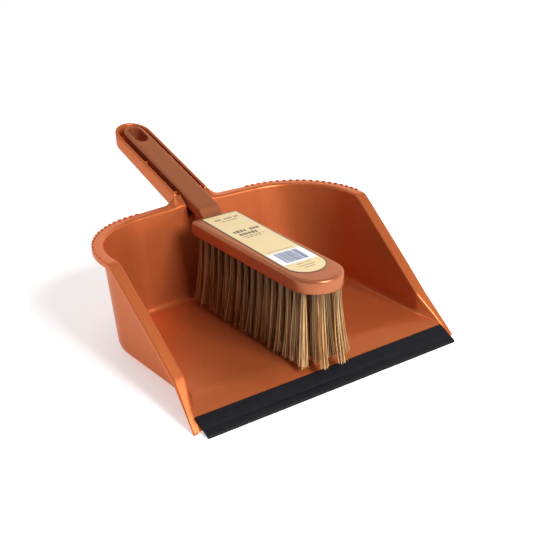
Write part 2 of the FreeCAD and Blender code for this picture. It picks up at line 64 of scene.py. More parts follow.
PAN = (Matrix.Translation((0, LIP_FRONT, 0)) @ Matrix.Rotation(-TILT, 4, "X")
       @ Matrix.Scale(MM, 4) @ Matrix.Translation((0, 0, LIP_DROP)))
BRUSH = PAN @ Matrix.Translation(PIVOT) @ Matrix.Rotation(LEAN, 4, "X") @ Matrix.Translation(-PIVOT)
LABEL_TURN = Vector((0, 56.5, 0))
LABEL_SKEW = math.radians(-1.6)
LABEL = (BRUSH @ Matrix.Translation(LABEL_TURN) @ Matrix.Rotation(LABEL_SKEW, 4, "Z")
         @ Matrix.Translation(-LABEL_TURN))

# pan, in millimetres
WALL = 2.3
FLOOR_HALF, FLOOR_BACK, FLOOR_CORNER = 140.0, 225.5, 67.0
RIM_HALF, RIM_BACK, RIM_CORNER, BOW = 144.8, 242.8, 75.5, 3.4
RIM_TOP, CREST_Y, CREST_Z, SHOULDER_Y = 103.0, 48.7, 22.8, 150.7
SHOULDER_BLEND, SHOULDER_BLEND_FROM = 1.2, 80.0
FLANGE, FLANGE_FRONT = 12.0, 153.6
SKIRT, SKIRT_TIP, SKIRT_RUN, SKIRT_WALL = 6.0, 2.4, 45.0, 2.0
EDGE_DROP, EDGE_DROP_WING, EDGE_DROP_RUN = 1.2, 0.2, 30.0
RAMP_Y, RAMP_Z, RAMP_START, RAMP_POWER = 22.1, -4.06, 52.0, 1.9
WING_Y, WING_HALF, WING_DIP = 11.8, 158.2, 3.6
CREST_HALF, CREASE_GAP, EDGE_GAP = 140.98, 0.4, 0.9
SIDE_TURN = 132.0
WALL_RADII = [8.0, 2.8, 1.5, 0.7, 0.7, 1.2, 2.0, 6.0]
WALL_COUNTS = [7, 6, 5, 3, 3, 3, 3, 6]
FLOOR_MARGIN = 10.0

# pan's handle
GRIP_HALF, GRIP_WALL, GRIP_DEPTH, GRIP_FLOOR, GRIP_END = 21.0, 3.4, 17.0, 2.6, 371.0
GRIP_ROOT, GRIP_BASE, GRIP_BASE_Y = 243.0, 120.7, 280.0
GRIP_SLOPE = math.tan(math.radians(17.74))
BELLY_SLOPE, ROOT_SLOPE, ROOT_DROP = 0.031, 0.55, 0.5
CHANNEL_RADII, CHANNEL_COUNTS = [2.0, 0.9, 1.1, 5.0], [4, 4, 4, 7]
HIP_HALF, HIP_POWER, HIP_SHORT, HIP_SKIRT = 35.0, 2.0, 0.9, 0.8
NOTCH_HALF, NOTCH_FRONT, NOTCH_BACK, NOTCH_TOP = 13.6, 225.0, 275.0, 160.0
HANG_Y, HANG_RADIUS, HANG_LENGTH = 360.0, 5.0, 30.0
RIB_COUNT, RIB_FIRST, RIB_PITCH, RIB_HALF, RIB_SINK, SILL = 4, 261.0, 19.7, 1.0, 0.5, 4.0
NUB_REACH, NUB_DROP, FIN_REACH, FIN_DROP = 4.3, 1.4, 3.1, 2.5
TOOTH_INSET, TOOTH_PITCH, TOOTH_ROUND = 1.3, 7.5, 0.5
TOOTH_LOW, TOOTH_HIGH = (-1.1, -1.9, -0.6), (1.1, 1.9, 0.9)

# rubber lip: the line of its top is (distance from the front edge, height above the plain top)
LIP_WALL, LIP_HALF, LIP_STEPS = 2.2, 150.0, 260
LIP_RISE = (RAMP_Z - LIP_WALL + LIP_DROP) / RAMP_Y
LIP_TOP_LINE = [(16.0, 0.12), (9.3, 0.0), (8.7, -0.18), (8.2, -0.4), (7.7, -0.1), (7.2, 0.1),
                (3.5, 0.1), (0.9, -0.05), (0.3, -0.35)]
WEAR_MEMORY, WEAR_STEP, WEAR_REACH = 0.8, 0.09, 3.0

# brush, in millimetres
HEAD_HALF, HEAD_FRONT, HEAD_BACK, HEAD_TOP, HEAD_THICK = 28.0, 12.6, 214.5, 93.1, 14.3
HEAD_CORNER, STEM_START, STEM_RISE, STEM_SINK, STEM_SET = 4.5, 210.5, 223.5, 8.0, 0.3
STEM_HALF, STEM_DEPTH, STEM_END = 12.6, 14.0, 370.5
STEM_BASE, STEM_BASE_Y = 119.3, 282.3
STEM_SLOPE = math.tan(math.radians(16.62))
EYE_HALF, EYE_FRONT, EYE_BACK, EYE_REACH = 8.0, 358.0, 371.5, 30.0
ROW_COUNT, ROW_FIRST, ROW_PITCH = 17, 205.5, 11.7
TUFT_REACH, TUFT_SPACE, TUFT_EDGE = 21.0, 9.0, 4.0

# label: lines of print are (left, right, place along the brush, height of the marks, gap share)
LABEL_HALF, LABEL_BACK, LABEL_NOSE, LABEL_THICK = 21.8, 209.5, 56.5, 0.4
LABEL_CORNER, LABEL_LAYER, LABEL_BORDER = 1.0, 0.1, 1.3
WIDE_GAP, TIGHT_GAP = 0.35, 0.25
PRINT_BEHIND = [(-12.5, 15.5, 196.5, 3.2, WIDE_GAP), (-8.0, 11.0, 190.5, 1.6, WIDE_GAP),
                (-14.0, 15.5, 158.4, 5.6, TIGHT_GAP), (-12.0, 13.5, 150.0, 5.6, TIGHT_GAP),
                (-12.0, 13.0, 143.6, 1.7, WIDE_GAP), (-10.0, 9.0, 139.8, 1.4, WIDE_GAP)]
PRINT_RULE = (-16.0, 14.0, 95.8, 96.4)
PRINT_AHEAD = [(-7.5, 8.5, 57.5, 1.5, WIDE_GAP), (-9.0, 10.0, 52.0, 1.3, WIDE_GAP),
               (-6.0, 7.0, 47.5, 1.3, WIDE_GAP)]
DASH_WIDTH, DASH_HEIGHT, DASH_CHANCE, DASH_SHARE, GAP_SHARE = (0.5, 0.95), (0.75, 1.0), 0.86, 0.75, 0.6
PATCH = (-20.2, 20.2, 62.0, 91.8)
BARS_LEFT, BARS_STOP, BARS_RIGHT, BARS_FRONT, BARS_BACK = -13.2, 13.0, 13.4, 65.5, 89.5
BAR_WIDTHS, BAR_GAPS = (0.5, 0.5, 0.8, 0.8, 1.1, 1.4), (0.4, 0.4, 0.6, 0.9)
INK_THICK, PATCH_THICK, INK_LIFT, BARS_LIFT = 0.04, 0.03, 0.02, 0.05

# bristles: filaments set round each tuft by the golden angle
STRANDS, STRAND_STEPS, GOLDEN_ANGLE = 44, 6, 2.399963
STRAND_RADIUS, STRAND_TAPER = (0.34, 0.46), 0.25
ROOT_RADIUS, ROOT_DEPTH, TUFT_TWIST = 2.25, 1.5, 0.35
FLARE, FLARE_RANGE, FAN_OUT = 4.4, (0.7, 1.45), 1.22
TIP_JITTER, TIP_CLEAR, TIP_UNEVEN = 0.7, 0.7, 1.3
BEND, BEND_START = 1.1, 0.4
FRONT_LEAN, FRONT_ROWS, REAR_LEAN, REAR_ROWS = -7.0, 4, 3.5, 2
SHADE_MEAN, SHADE_SPREAD, TUFT_SHADE = 0.5, 0.32, 0.12
# painted shade among the bristles: darker in the rear rows and inner tufts, and at the roots
CORE_SHADE_ROWS, CORE_SHADE_BASE, CORE_SHADE_INNER, CORE_SHADE_HALF, CORE_SHADE_FADE = 7.0, 0.5, 0.45, 22.0, 8.0
CORE_SHADE_ROOT, ROOT_SHADE_RATE = 0.75, 2.2

# light and camera: spots in metres, the camera's angles about the normal of the pan's floor
KEY_SPOT, KEY_SIZE, KEY_POWER = (0.28, -1.55, 1.35), (0.8, 0.8), 46
TOP_SPOT, TOP_SIZE, TOP_POWER = (-0.2, 0.2, 1.7), (0.6, 0.6), 2.5
LIGHT_AIM = (0, 0, 0.05)
ROOM_SIDE = (0.55, 0.83, 0)
ROOM_HEIGHT_FADE, ROOM_SIDE_FADE = (0.3, 0.75, 1.0, 0.26), (-1.0, 1.0, 0.1, 1.5)
FLOOR_SIZE, FLOOR_GLOW = 6.0, 0.45
AZIMUTH, ELEVATION, ROLL = math.radians(-35.53), math.radians(23.76), math.radians(-1.5)
CAMERA_TARGET, CAMERA_DISTANCE = Vector((46.4, 167.8, 30.0)), 1218.9
CAMERA_LENS, CAMERA_SENSOR = 74.749, 36.0


def grip_height(y):
    return GRIP_BASE + (y - GRIP_BASE_Y) * GRIP_SLOPE


def belly_height(y):
    return grip_height(y) - GRIP_DEPTH - BELLY_SLOPE * (GRIP_END - y)


def stem_height(y):
    return STEM_BASE + (y - STEM_BASE_Y) * STEM_SLOPE


def smooth(t):
    t = min(max(t, 0.0), 1.0)
    return t * t * (3 - 2 * t)


def mix(a, b, t):
    return a + (b - a) * t


def steps(a, b, count):
    return [mix(a, b, i / count) for i in range(count)]


# ---------------------------------------------------------------------------------------------
# Materials
# ---------------------------------------------------------------------------------------------
class Nodes:
    """A short way to write a material's node tree."""

    def __init__(self, name):
        self.material = bpy.data.materials.new(name)
        self.material.use_nodes = True
        self.tree = self.material.node_tree
        self.shader = self.tree.nodes["Principled BSDF"]
        self.place = self.add("ShaderNodeTexCoord").outputs["Object"]

    def add(self, kind, **inputs):
        node = self.tree.nodes.new(kind)
        for key, value in inputs.items():
            self.plug(node.inputs[key.replace("_", " ")], value)
        return node

    def plug(self, socket, value):
        if isinstance(value, bpy.types.NodeSocket):
            self.tree.links.new(value, socket)
        else:
            socket.default_value = value

    def noise(self, scale, detail=2.0, stretch=None, roughness=0.5):
        place = self.place
        if stretch is not None:
            place = self.add("ShaderNodeMapping", Vector=self.place, Scale=stretch).outputs[0]
        node = self.add("ShaderNodeTexNoise", Vector=place, Scale=scale, Detail=detail)
        node.inputs["Roughness"].default_value = roughness
        return node.outputs[0]

    def ramp(self, factor, stops):
        node = self.add("ShaderNodeValToRGB", Fac=factor)
        band = node.color_ramp
        while len(band.elements) < len(stops):
            band.elements.new(0.5)
        for element, (position, colour) in zip(band.elements, stops):
            element.position = position
            element.color = (*colour, 1)
        return node.outputs[0]

    def blend(self, factor, a, b):
        node = self.tree.nodes.new("ShaderNodeMix")
        node.data_type = "RGBA"
        self.plug(node.inputs[0], factor)
        self.plug(node.inputs[6], (*a, 1) if isinstance(a, tuple) else a)
        self.plug(node.inputs[7], (*b, 1) if isinstance(b, tuple) else b)
        return node.outputs[2]

    def span(self, value, low, high):
        node = self.add("ShaderNodeMapRange", Value=value)
        node.inputs["To Min"].default_value = low
        node.inputs["To Max"].default_value = high
        return node.outputs[0]

    def bump(self, height, distance, strength=1.0, normal=None):
        node = self.add("ShaderNodeBump", Height=height)
        node.inputs["Distance"].default_value = distance
        node.inputs["Strength"].default_value = strength
        if normal is not None:
            self.plug(node.inputs["Normal"], normal)
        return node.outputs[0]

    def surface(self, **sockets):
        for key, value in sockets.items():
            self.plug(self.shader.inputs[key.replace("_", " ")], value)
        return self.material


def copper_plastic(name, deep, bright):
    """Moulded plastic with copper flake: fine sparkle, faint flow clouds and a satin gloss."""
    n = Nodes(name)
    clouds = n.noise(14.0, 3.0)
    flow = n.noise(30.0, 4.0, (1.0, 0.35, 1.0))
    flake = n.noise(1500.0, 2.0, roughness=0.7)
    grain = n.noise(620.0, 3.0)
    pale = tuple(min(1.0, c * 1.5 + 0.02) for c in bright)
    base = n.blend(n.span(clouds, 0.15, 0.85), deep, bright)
    base = n.blend(n.span(flow, 0.0, 0.35), base, bright)
    base = n.blend(n.span(flake, -0.6, 0.8), base, pale)
    normal = n.bump(grain, 0.00004, 0.5, n.bump(flake, 0.00002, 0.45))
    n.surface(Base_Color=base, Roughness=n.span(grain, 0.27, 0.41), Normal=normal)
    n.surface(Specular_Tint=(1.0, 0.6, 0.4, 1.0))
    return n.surface(Metallic=0.55, Specular_IOR_Level=0.25, Coat_Weight=0.1, Coat_Roughness=0.2)


def rubber():
    """Black rubber with a dusty bloom, a fine grain and long drawing lines."""
    n = Nodes("lip_rubber")
    drawn = n.noise(60.0, 5.0, (0.15, 6.0, 6.0))
    dust = n.noise(90.0, 6.0, roughness=0.65)
    grain = n.noise(1800.0, 3.0)
    base = n.blend(n.span(dust, -0.2, 0.7), (0.005, 0.005, 0.007), (0.014, 0.014, 0.018))
    base = n.blend(n.span(drawn, -0.4, 0.6), base, (0.02, 0.02, 0.025))
    normal = n.bump(drawn, 0.00012, 0.5, n.bump(grain, 0.00003, 0.6))
    n.surface(Base_Color=base, Roughness=n.span(grain, 0.42, 0.58), Normal=normal)
    return n.surface(Specular_IOR_Level=0.12)


def card(name, pale, warm, rough=0.5):
    """Printed paper under a thin varnish: fibre mottling and a slight orange peel."""
    n = Nodes(name)
    fibre = n.noise(420.0, 5.0, (1.0, 0.3, 1.0))
    cloud = n.noise(40.0, 3.0)
    base = n.blend(n.span(cloud, 0.0, 0.9), pale, warm)
    base = n.blend(n.span(fibre, -0.1, 0.4), base, warm)
    normal = n.bump(fibre, 0.00003, 0.4)
    n.surface(Base_Color=base, Roughness=n.span(fibre, rough - 0.08, rough + 0.1), Normal=normal)
    return n.surface(Coat_Weight=0.15, Coat_Roughness=0.3)


def bristle():
    """Tan synthetic filament: each strand a slightly different straw colour, with painted shade at the
    root and in the rear and inner tufts, where the other filaments keep the light off."""
    n = Nodes("bristle_tan")
    strand_data = n.add("ShaderNodeAttribute")
    strand_data.attribute_name = "strand"
    shade, depth, core_shade = n.add("ShaderNodeSeparateColor", Color=strand_data.outputs["Color"]).outputs
    streak = n.noise(500.0, 3.0, (3.0, 3.0, 0.25))
    base = n.ramp(shade, [(0.0, (0.16, 0.045, 0.009)), (0.4, (0.46, 0.2, 0.06)),
                          (0.75, (0.82, 0.51, 0.22)), (1.0, (0.95, 0.72, 0.42))])
    base = n.blend(n.span(streak, -0.1, 0.45), base, (0.24, 0.1, 0.024))
    # painted shade deep in the brush, on the rear and inner tufts
    base = n.blend(core_shade, base, (0.15, 0.04, 0.008))
    # painted shade at the roots, under the block
    base = n.blend(n.span(depth, 0.6, 0.0), base, (0.05, 0.016, 0.005))
    n.surface(Base_Color=base, Roughness=n.span(streak, 0.36, 0.54), Specular_IOR_Level=0.18)
    return n.surface(Normal=n.bump(streak, 0.00003, 0.4))


def steel():
    """Drawn wire: bright metal with fine lines along it."""
    n = Nodes("staple_steel")
    drawn = n.noise(900.0, 3.0, (0.2, 4.0, 4.0))
    n.surface(Base_Color=n.blend(drawn, (0.45, 0.45, 0.46), (0.65, 0.65, 0.66)))
    return n.surface(Metallic=1.0, Roughness=n.span(drawn, 0.25, 0.45))


PAN_PLASTIC = copper_plastic("pan_copper", (0.42, 0.09, 0.022), (0.58, 0.146, 0.045))
BRUSH_PLASTIC = copper_plastic("brush_copper", (0.28, 0.078, 0.03), (0.43, 0.14, 0.062))
RUBBER = rubber()
LABEL_CREAM = card("label_cream", (0.8, 0.63, 0.34), (0.72, 0.54, 0.26))
LABEL_INK = card("label_ink", (0.09, 0.055, 0.02), (0.15, 0.09, 0.035), 0.45)
LABEL_WHITE = card("label_white", (0.85, 0.86, 0.9), (0.78, 0.8, 0.86))
LABEL_BARS = card("label_bars", (0.05, 0.08, 0.17), (0.09, 0.12, 0.24), 0.45)
BRISTLE = bristle()
STEEL = steel()


# ---------------------------------------------------------------------------------------------
# Mesh helpers
# ---------------------------------------------------------------------------------------------
CORNER_SHARE = 0.46


def round_path(points, radii, counts):
    """Rounds the corners of an open path; the two ends stay. Same number of points every time.
    A corner takes at most CORNER_SHARE of the sides it joins."""
    out = [points[0]]
    for index in range(1, len(points) - 1):
        before, here, after = points[index - 1], points[index], points[index + 1]
        radius, count = radii[index - 1], counts[index - 1]
        back, forth = before - here, after - here
        start = here + back * min(radius / max(back.length, 1e-6), CORNER_SHARE)
        end = here + forth * min(radius / max(forth.length, 1e-6), CORNER_SHARE)
        for k in range(count):
            t = k / (count - 1)
            out.append(start * (1 - t) ** 2 + here * 2 * t * (1 - t) + end * t * t)
    out.append(points[-1])
    return out


def skin(mesh, rings, loop=False):
    """Quads between rings of equally many points; loop also joins each ring's ends."""
    rows = [[mesh.verts.new(p) for p in ring] for ring in rings]
    for a, b in zip(rows, rows[1:]):
        count = len(a)
        for i in range(count if loop else count - 1):
            j = (i + 1) % count
            mesh.faces.new((a[i], a[j], b[j], b[i]))
    return rows


def cap(mesh, row):
    mesh.faces.new(row)


def finish_mesh(mesh, name, merge=0.002):
    """Closes the drawing of a mesh and makes it an object."""
    bmesh.ops.remove_doubles(mesh, verts=mesh.verts, dist=merge)
    bmesh.ops.dissolve_degenerate(mesh, edges=mesh.edges, dist=merge / 4)
    bmesh.ops.recalc_face_normals(mesh, faces=mesh.faces)
    data = bpy.data.meshes.new(name)
    mesh.to_mesh(data)
    mesh.free()
    piece = bpy.data.objects.new(name, data)
    bpy.context.scene.collection.objects.link(piece)
    return piece


def carve(piece, other, how):
    """Adds, takes away or joins another solid, which is used up."""
    modifier = piece.modifiers.new("carve", "BOOLEAN")
    modifier.operation = how
    modifier.solver = "EXACT"
    modifier.object = other
    apply_modifiers(piece)
    bpy.data.objects.remove(other)


def apply_modifiers(piece):
    data = bpy.data.meshes.new_from_object(
        piece.evaluated_get(bpy.context.evaluated_depsgraph_get()))
    old = piece.data
    piece.modifiers.clear()
    piece.data = data
    bpy.data.meshes.remove(old)


def soften(piece, width, angle=40.0, segments=2):
    """Rounds the edges that a cut has left sharp."""
    modifier = piece.modifiers.new("soften", "BEVEL")
    modifier.width = width
    modifier.segments = segments
    modifier.limit_method = "ANGLE"
    modifier.angle_limit = math.radians(angle)
    apply_modifiers(piece)


def place(piece, matrix, material, body, slot, sharp=42.0):
    """Moves a finished piece into the part's frame and gives it its finish and its body."""
    piece.data.transform(matrix)
    for polygon in piece.data.polygons:
        polygon.use_smooth = True
    piece.data.set_sharp_from_angle(angle=math.radians(sharp))
    piece.data.materials.clear()
    piece.data.materials.append(material)
    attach(piece, body)
    return piece


def block(mesh, low, high, matrix=None, bevel=0.4):
    """A small box with rounded edges, added to the mesh."""
    size = [h - l for l, h in zip(low, high)]
    middle = [(h + l) / 2 for l, h in zip(low, high)]
    move = Matrix.Translation(middle) @ Matrix.Diagonal((*size, 1))
    made = bmesh.ops.create_cube(mesh, size=1.0, matrix=(matrix or Matrix()) @ move)
    edges = list({edge for vert in made["verts"] for edge in vert.link_edges})
    bmesh.ops.bevel(mesh, geom=edges, offset=bevel, segments=2, profile=0.5, affect="EDGES")


# ---------------------------------------------------------------------------------------------
# Pan
# ---------------------------------------------------------------------------------------------
def floor_height(y):
    """Top of the floor: level, then rolling over the crest and down the ramp to the lip."""
    if y < RAMP_Y:
        return -LIP_DROP + LIP_RISE * y
    return WALL - (WALL - RAMP_Z) * max(0.0, (RAMP_START - y) / (RAMP_START - RAMP_Y)) ** RAMP_POWER


def edge_height(y):
    """Inner edge of the rim: level at the back, sloping down the sides, steeper down the wings."""
    slope = (RIM_TOP - CREST_Z) / (SHOULDER_Y - CREST_Y)
    upper = CREST_Z + slope * (y - CREST_Y)
    if y < CREST_Y:
        wing = CREST_Z + (CREST_Z + WING_DIP) / (CREST_Y - RAMP_Y) * (y - CREST_Y)
        return min(upper, wing)
    if upper > SHOULDER_BLEND_FROM:
        near, far = math.exp(-upper / SHOULDER_BLEND), math.exp(-RIM_TOP / SHOULDER_BLEND)
        return -SHOULDER_BLEND * math.log(near + far)
    return upper


def inner_plan(y):
    """Half widths in front of the back corners: floor crease, rim's inner edge, outer edge."""
    if y >= CREST_Y:
        t = (edge_height(y) - WALL) / (RIM_TOP - WALL)
        along = min((y - CREST_Y) / (SHOULDER_Y - CREST_Y), 1.0)
        outer = mix(FLANGE_FRONT, RIM_HALF + FLANGE, along)
        return FLOOR_HALF, mix(FLOOR_HALF, RIM_HALF, t), outer
    t = (CREST_Y - y) / (CREST_Y - RAMP_Y)
    tip = (CREST_Y - y) / (CREST_Y - WING_Y)
    flare = min(t, 1.0)
    crease = mix(FLOOR_HALF, LIP_HALF + CREASE_GAP, flare)
    edge = mix(CREST_HALF, LIP_HALF + EDGE_GAP, flare)
    return crease, edge, mix(FLANGE_FRONT, WING_HALF, tip)


def station(normal, floor_point, edge_point, outer_point, skirt):
    """One cross-section of the wall, from inside the floor over the rim to under the floor."""
    up = Vector((0, 0, 1))
    inside = floor_point - normal * FLOOR_MARGIN
    bottom = outer_point - up * skirt
    inner_bottom = bottom - normal * SKIRT_WALL
    inner_top = outer_point - normal * SKIRT_WALL - up * WALL
    under_edge = edge_point + normal * WALL - up * WALL
    crease = floor_point + normal * WALL - up * WALL
    under = inside - up * WALL
    corners = [inside, floor_point, edge_point, outer_point, bottom, inner_bottom, inner_top,
               under_edge, crease, under]
    return round_path(corners, WALL_RADII, WALL_COUNTS)


def hip_rise(x):
    """How far the flange's outer edge at the back climbs towards the handle's walls."""
    near = min(max((HIP_HALF - abs(x)) / (HIP_HALF - GRIP_HALF), 0.0), 1.0)
    return near ** HIP_POWER * (grip_height(RIM_BACK + FLANGE) - HIP_SHORT - RIM_TOP)


def right_stations():
    """Cross-sections from the right wing tip round to the middle of the back."""
    rows = []
    rim_side, floor_side = RIM_BACK - BOW - RIM_CORNER, FLOOR_BACK - BOW - FLOOR_CORNER
    lip_end, ramp_middle, crest_end = RAMP_Y - 0.1, 36.0, 54.0
    ys = steps(WING_Y, lip_end, 8) + [lip_end] + steps(RAMP_Y, ramp_middle, 8)
    ys += steps(ramp_middle, crest_end, 12) + steps(crest_end, SIDE_TURN, 18)
    ys += steps(SIDE_TURN, rim_side, 18)
    for y in ys:
        crease, edge, outer = inner_plan(y)
        top = edge_height(y)
        if y < CREST_Y:
            drop = mix(EDGE_DROP, EDGE_DROP_WING, min((CREST_Y - y) / (CREST_Y - RAMP_Y), 1.0))
        else:
            drop = mix(EDGE_DROP, 0.0, min((y - CREST_Y) / EDGE_DROP_RUN, 1.0))
        skirt = mix(SKIRT_TIP, SKIRT, smooth((y - WING_Y) / SKIRT_RUN))
        foot_y = y
        if y >= SIDE_TURN:
            foot_y = mix(SIDE_TURN, floor_side, (y - SIDE_TURN) / (rim_side - SIDE_TURN))
        rows.append(station(Vector((1, 0, 0)), Vector((crease, foot_y, floor_height(foot_y))),
                            Vector((edge, y, top)), Vector((outer, y, top - drop)), skirt))
    corner_x, floor_x = RIM_HALF - RIM_CORNER, FLOOR_HALF - FLOOR_CORNER
    for angle in steps(0.0, math.radians(90), 36):
        normal = Vector((math.cos(angle), math.sin(angle), 0))
        edge = Vector((corner_x, rim_side, RIM_TOP)) + normal * RIM_CORNER
        foot = Vector((floor_x, floor_side, WALL)) + normal * FLOOR_CORNER
        rows.append(station(normal, foot, edge, edge + normal * FLANGE, SKIRT))
    count = 48
    for i in range(count + 1):
        u = 1 - i / count
        edge = Vector((corner_x * u, RIM_BACK - BOW * u * u, RIM_TOP))
        foot = Vector((floor_x * u, FLOOR_BACK - BOW * u * u, WALL))
        normal = Vector((2 * BOW * u / corner_x, 1, 0)).normalized()
        rise = hip_rise(edge.x)
        outer = edge + normal * FLANGE + Vector((0, 0, rise))
        rows.append(station(normal, foot, edge, outer, SKIRT + rise * HIP_SKIRT))
    return rows


def pan_tub():
    """The tub as one closed skin: wall sections round the rim, and rows across both floor faces."""
    mesh = bmesh.new()
    right = right_stations()
    left = [[Vector((-p.x, p.y, p.z)) for p in row] for row in right]
    rings = right + left[-2::-1]
    rows = skin(mesh, rings)
    count = len(right)
    across = 26
    front_rows = []
    for end in (0, -1):
        grid = []
        for i in range(count):
            a, b = rows[i][end], rows[len(rows) - 1 - i][end]
            inner = [mesh.verts.new(a.co.lerp(b.co, k / across)) for k in range(1, across)]
            grid.append([a] + inner + [b])
        for p, q in zip(grid[:-1], grid[1:]):
            for k in range(across):
                quad = [p[k], p[k + 1], q[k + 1], q[k]]
                if len(set(quad)) == 4:
                    mesh.faces.new(quad)
        front_rows.append(grid[0])
    top, under = front_rows
    outline = list(rows[0]) + under[1:-1] + list(reversed(rows[-1])) + list(reversed(top[1:-1]))
    mesh.faces.new(outline)
    return finish_mesh(mesh, "pan_shell")


def channel_profile(centre, direction):
    """Half cross-section of the U-shaped handle: channel floor, wall, flat rim and belly."""
    inner = GRIP_HALF - GRIP_WALL

    def at(reach, height, lift=0.0):
        point = centre + direction * reach
        return Vector((point.x, point.y, height(point.y) + lift))

    corners = [at(0, belly_height, GRIP_FLOOR), at(inner, belly_height, GRIP_FLOOR),
               at(inner, rim_line), at(GRIP_HALF, rim_line),
               at(GRIP_HALF, belly_height), at(0, belly_height)]
    return round_path(corners, CHANNEL_RADII, CHANNEL_COUNTS)


def rim_line(y):
    """Top of the handle's walls: hidden inside the hips at the root, then the handle's own slope."""
    if y < RIM_BACK + FLANGE:
        return min(grip_height(y), RIM_TOP + ROOT_SLOPE * (y - RIM_BACK) - ROOT_DROP)
    return grip_height(y)


def pan_handle():
    """The U-shaped handle as one closed skin, round its end and back."""
    mesh = bmesh.new()
    hip_end, step = RIM_BACK + FLANGE, 0.05
    straight = steps(GRIP_ROOT, hip_end - step, 6) + steps(hip_end, GRIP_END, 40)
    straight.append(GRIP_END)
    turns = 36
    rings = [channel_profile(Vector((0, y, 0)), Vector((1, 0, 0))) for y in straight]
    for angle in [math.pi * i / turns for i in range(1, turns)]:
        direction = Vector((math.cos(angle), math.sin(angle), 0))
        rings.append(channel_profile(Vector((0, GRIP_END, 0)), direction))
    rings += [channel_profile(Vector((0, y, 0)), Vector((-1, 0, 0))) for y in reversed(straight)]
    rows = skin(mesh, rings)
    mesh.faces.new(list(rows[0]) + list(reversed(rows[-1]))[1:-1])
    return finish_mesh(mesh, "handle")


def prism(name, outline, low, high):
    """A straight-sided solid over a plan outline, between two heights given as functions of y."""
    mesh = bmesh.new()
    rows = skin(mesh, [[Vector((x, y, low(y))) for x, y in outline],
                       [Vector((x, y, high(y))) for x, y in outline]], loop=True)
    for row in rows:
        cap(mesh, row)
    return finish_mesh(mesh, name)


def cylinder(name, centre, axis, radius, length, sides=40):
    mesh = bmesh.new()
    turn = Vector((0, 0, 1)).rotation_difference(axis).to_matrix().to_4x4()
    bmesh.ops.create_cone(mesh, cap_ends=True, segments=sides, radius1=radius, radius2=radius,
                          depth=length, matrix=Matrix.Translation(centre) @ turn)
    return finish_mesh(mesh, name)


def rim_teeth(mesh):
    """Small grip teeth along the flange's outer edge, round both back corners."""
    radius = RIM_CORNER + FLANGE - TOOTH_INSET
    centre = Vector((RIM_HALF - RIM_CORNER, RIM_BACK - BOW - RIM_CORNER, 0))
    pitch = TOOTH_PITCH / radius
    for index in range(int(math.pi / 2 / pitch) + 1):
        for hand in (-1, 1):
            angle = index * pitch
            spot = Vector((hand * (centre.x + radius * math.cos(angle)),
                           centre.y + radius * math.sin(angle), RIM_TOP))
            turn = angle if hand > 0 else math.pi - angle
            matrix = Matrix.Translation(spot) @ Matrix.Rotation(turn, 4, "Z")
            block(mesh, TOOTH_LOW, TOOTH_HIGH, matrix, TOOTH_ROUND)


def handle_ribs(mesh):
    """Cross ribs in the handle's channel, each with a nub or a fin against either wall."""
    inner = GRIP_HALF - GRIP_WALL
    for index in range(RIB_COUNT):
        y = RIB_FIRST + index * RIB_PITCH
        front, back = y - RIB_HALF, y + RIB_HALF
        floor = belly_height(y) + GRIP_FLOOR - 1
        block(mesh, (-inner - RIB_SINK, front, floor), (inner + RIB_SINK, back, floor + SILL))
        strong = index in (0, RIB_COUNT - 1)
        reach = NUB_REACH if strong else FIN_REACH
        top = grip_height(y) - (NUB_DROP if strong else FIN_DROP)
        for hand in (-1, 1):
            low, high = sorted((hand * (inner - reach), hand * (inner + RIB_SINK)))
            block(mesh, (low, front, floor), (high, back, top))


def make_pan():
    """The pan: tub, notch through the back, handle, hanging hole, then teeth and ribs."""
    pan = pan_tub()
    notch = [(-NOTCH_HALF, NOTCH_FRONT), (NOTCH_HALF, NOTCH_FRONT),
             (NOTCH_HALF, NOTCH_BACK), (-NOTCH_HALF, NOTCH_BACK)]
    bar = prism("notch", notch, lambda y: belly_height(y) + GRIP_FLOOR, lambda y: NOTCH_TOP)
    carve(pan, bar, "DIFFERENCE")
    carve(pan, pan_handle(), "UNION")
    slope = math.atan(GRIP_SLOPE + BELLY_SLOPE)
    axis = Vector((0, -math.sin(slope), math.cos(slope)))
    hole = Vector((0, HANG_Y, belly_height(HANG_Y)))
    carve(pan, cylinder("bore", hole, axis, HANG_RADIUS, HANG_LENGTH), "DIFFERENCE")
    soften(pan, 0.55, angle=48.0)
    mesh = bmesh.new()
    mesh.from_mesh(pan.data)
    rim_teeth(mesh)
    handle_ribs(mesh)
    mesh.to_mesh(pan.data)
    mesh.free()
    place(pan, PAN, PAN_PLASTIC, "pan", "pan_plastic")
    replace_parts(pan, "pan_body")


def make_lip():
    """The rubber strip: a blade with a groove between its two bands and a worn front edge."""
    mesh = bmesh.new()
    rng = random.Random(11)
    base = -LIP_DROP

    def top(y):
        return base + LIP_WALL + LIP_RISE * y

    profile = [(0.25, base + 0.1), (21.9, base + LIP_RISE * 21.9 + 0.03), (22.02, top(21.6) - 0.5),
               (21.5, top(21.4))]
    profile += [(y, top(y) + lift) for y, lift in LIP_TOP_LINE]
    profile += [(0.05, base + 1.0), (0.05, base + 0.35)]
    rings = []
    drift = 0.0
    for i in range(LIP_STEPS + 1):
        x = mix(-LIP_HALF, LIP_HALF, i / LIP_STEPS)
        drift = WEAR_MEMORY * drift + rng.uniform(-WEAR_STEP, WEAR_STEP)
        end = 1.0 if 0 < i < LIP_STEPS else 0.0
        ring = []
        for y, z in profile:
            wear = max(0.0, drift) * end * max(0.0, 1 - y / WEAR_REACH)
            ring.append(Vector((x, y + wear, z)))
        rings.append(ring)
    rows = skin(mesh, rings, loop=True)
    cap(mesh, rows[0])
    cap(mesh, rows[-1])
    lip = finish_mesh(mesh, "lip_strip")
    place(lip, PAN, RUBBER, "pan", "lip_rubber", sharp=50.0)
    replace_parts(lip, "rubber_lip")


